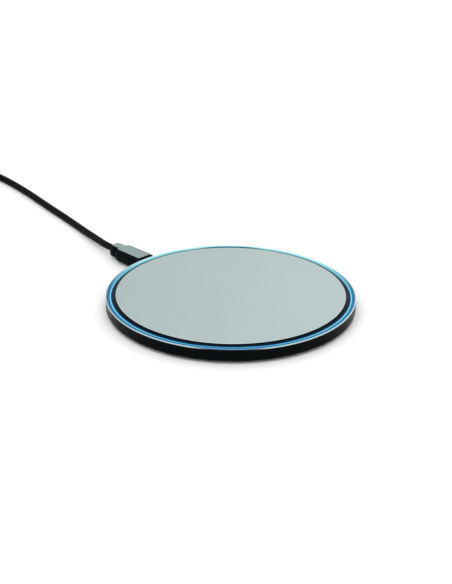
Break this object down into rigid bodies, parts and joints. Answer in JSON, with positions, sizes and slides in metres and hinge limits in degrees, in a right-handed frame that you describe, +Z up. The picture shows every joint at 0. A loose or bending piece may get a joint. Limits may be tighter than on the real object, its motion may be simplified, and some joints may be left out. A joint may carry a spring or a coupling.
{
  "type": "wireless charging pad",
  "caption": "Low round wireless charging pad with a raised silver top, a lit ring round it, a dark vertical wall, rubber feet and a plug-in USB lead with its spare length coiled.",
  "frame": {"origin": "centre of the pad, on the surface its feet stand on", "axes": "+Z up out of the top plate; +Y out of the USB socket, along the device plug; +X completes a right-handed frame"},
  "size_m": [0.1011, 0.2716, 0.0076],
  "materials": {
    "case_black": "polished moulded ABS, black",
    "cover_black": "polished moulded ABS, black",
    "plate_silver": "moulded polycarbonate with fine silver paint",
    "clear_tape": "translucent double-sided tape",
    "light_blue": "clear acrylic, lit blue",
    "trim_silver": "bright plated ring",
    "film_white": "white reflector film",
    "foot_rubber": "matt rubber",
    "steel": "nickel-plated steel sheet",
    "label_grey": "blank satin film",
    "foam_grey": "closed-cell foam",
    "ferrite": "sintered ferrite",
    "copper": "enamelled copper wire",
    "board_green": "green solder mask on glass epoxy",
    "led_white": "white lamp housing",
    "chip_black": "moulded chip package",
    "ceramic_tan": "ceramic chip",
    "port_plastic": "black moulded insulator",
    "gold": "gold-flashed contacts",
    "plug_black": "satin moulded PVC",
    "inlay_grey": "satin grey moulded panel",
    "cord_black": "satin PVC jacket",
    "tie_black": "hook-and-loop strap"
  },
  "bodies": {
    "pad": {"bottom_case": "case_black", "top_cover": "cover_black", "top_plate": "plate_silver", "plate_tape": "clear_tape", "light_guide": "light_blue", "trim_ring": "trim_silver", "reflector_ring": "film_white", "rubber_feet": "foot_rubber", "case_screws": "steel", "underside_label": "label_grey", "foam_pad": "foam_grey", "ferrite_shield": "ferrite", "coil_tape": "clear_tape", "charging_coil": "copper", "coil_leads": "copper", "main_board": "board_green", "light_leds": "led_white", "controller_chip": "chip_black", "power_transistors": "chip_black", "resonant_capacitors": "ceramic_tan", "filter_inductor": "ferrite", "chip_passives": "ceramic_tan", "coil_thermistor": "ceramic_tan", "usb_socket_shell": "steel", "usb_socket_tongue": "port_plastic", "usb_socket_contacts": "gold"},
    "cable": {"usb_plug_shell": "steel", "usb_plug_latches": "steel", "usb_plug_core": "port_plastic", "usb_plug_contacts": "gold", "usb_plug_body": "plug_black", "usb_plug_inlay": "inlay_grey", "cord_run": "cord_black", "cord_coil": "cord_black", "cord_tail": "cord_black", "cord_tie": "tie_black", "host_plug_body": "plug_black", "host_plug_shell": "steel", "host_plug_core": "port_plastic", "host_plug_contacts": "gold"}
  },
  "joints": [
    {"name": "plug_pull", "type": "slide", "parent": "pad", "child": "cable", "axis": [0, 1, 0], "range_m": [0, 0.012]}
  ]
}
